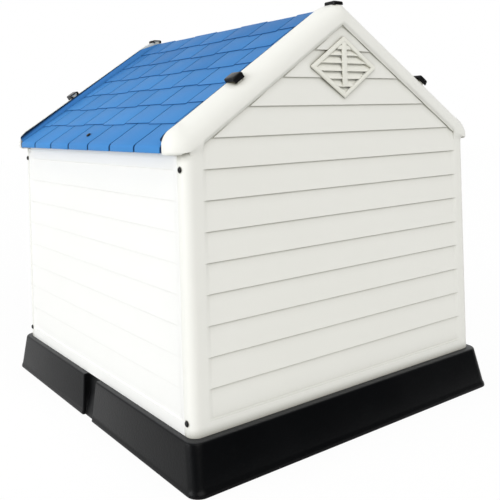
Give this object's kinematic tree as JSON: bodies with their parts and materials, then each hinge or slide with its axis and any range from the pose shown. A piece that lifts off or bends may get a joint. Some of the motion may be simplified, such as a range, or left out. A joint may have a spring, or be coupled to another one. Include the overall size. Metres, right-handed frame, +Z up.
{
  "type": "dog house",
  "caption": "Gable-roofed plastic dog house with an arched doorway, lap-sided wall panels, shingled roof panels, diamond vents and sliding roof latches on a raised base tray.",
  "frame": {"origin": "centre of the footprint, on the ground", "axes": "+Z up; the arched doorway faces -Y and the plain gable +Y; +X is the right-hand side seen from the doorway side looking in; the ridge runs along Y"},
  "size_m": [0.666, 0.72, 0.7138],
  "materials": {
    "wall_plastic": "white moulded polypropylene, satin, fine texture",
    "vent_plastic": "cream white moulded polypropylene, satin",
    "roof_plastic": "blue moulded polypropylene, satin, fine texture",
    "base_plastic": "black moulded polypropylene, satin",
    "latch_plastic": "glossy black nylon",
    "screw_steel": "black oxide steel"
  },
  "bodies": {
    "house": {"base_tray": "base_plastic", "back_wall": "wall_plastic", "front_wall": "wall_plastic", "side_wall_right": "wall_plastic", "side_wall_left": "wall_plastic", "roof_panel_right": "roof_plastic", "roof_panel_left": "roof_plastic", "back_vent": "vent_plastic", "front_vent": "vent_plastic", "back_right_lower_screw": "screw_steel", "back_right_upper_screw": "screw_steel", "front_right_lower_screw": "screw_steel", "front_right_upper_screw": "screw_steel", "back_left_lower_screw": "screw_steel", "back_left_upper_screw": "screw_steel", "front_left_lower_screw": "screw_steel", "front_left_upper_screw": "screw_steel", "right_roof_screw": "screw_steel", "left_roof_screw": "screw_steel"},
    "back_ridge_latch_slide_body": {"back_ridge_latch": "latch_plastic"},
    "back_right_latch_slide_body": {"back_right_latch": "latch_plastic"},
    "back_left_latch_slide_body": {"back_left_latch": "latch_plastic"},
    "front_ridge_latch_slide_body": {"front_ridge_latch": "latch_plastic"},
    "front_right_latch_slide_body": {"front_right_latch": "latch_plastic"},
    "front_left_latch_slide_body": {"front_left_latch": "latch_plastic"}
  },
  "joints": [
    {"name": "back_ridge_latch_slide", "type": "slide", "parent": "house", "child": "back_ridge_latch_slide_body", "axis": [0, 1, 0], "range_m": [0, 0.012]},
    {"name": "back_right_latch_slide", "type": "slide", "parent": "house", "child": "back_right_latch_slide_body", "axis": [0, 1, 0], "range_m": [0, 0.012]},
    {"name": "back_left_latch_slide", "type": "slide", "parent": "house", "child": "back_left_latch_slide_body", "axis": [0, 1, 0], "range_m": [0, 0.012]},
    {"name": "front_ridge_latch_slide", "type": "slide", "parent": "house", "child": "front_ridge_latch_slide_body", "axis": [0, -1, 0], "range_m": [0, 0.012]},
    {"name": "front_right_latch_slide", "type": "slide", "parent": "house", "child": "front_right_latch_slide_body", "axis": [0, -1, 0], "range_m": [0, 0.012]},
    {"name": "front_left_latch_slide", "type": "slide", "parent": "house", "child": "front_left_latch_slide_body", "axis": [0, -1, 0], "range_m": [0, 0.012]}
  ]
}
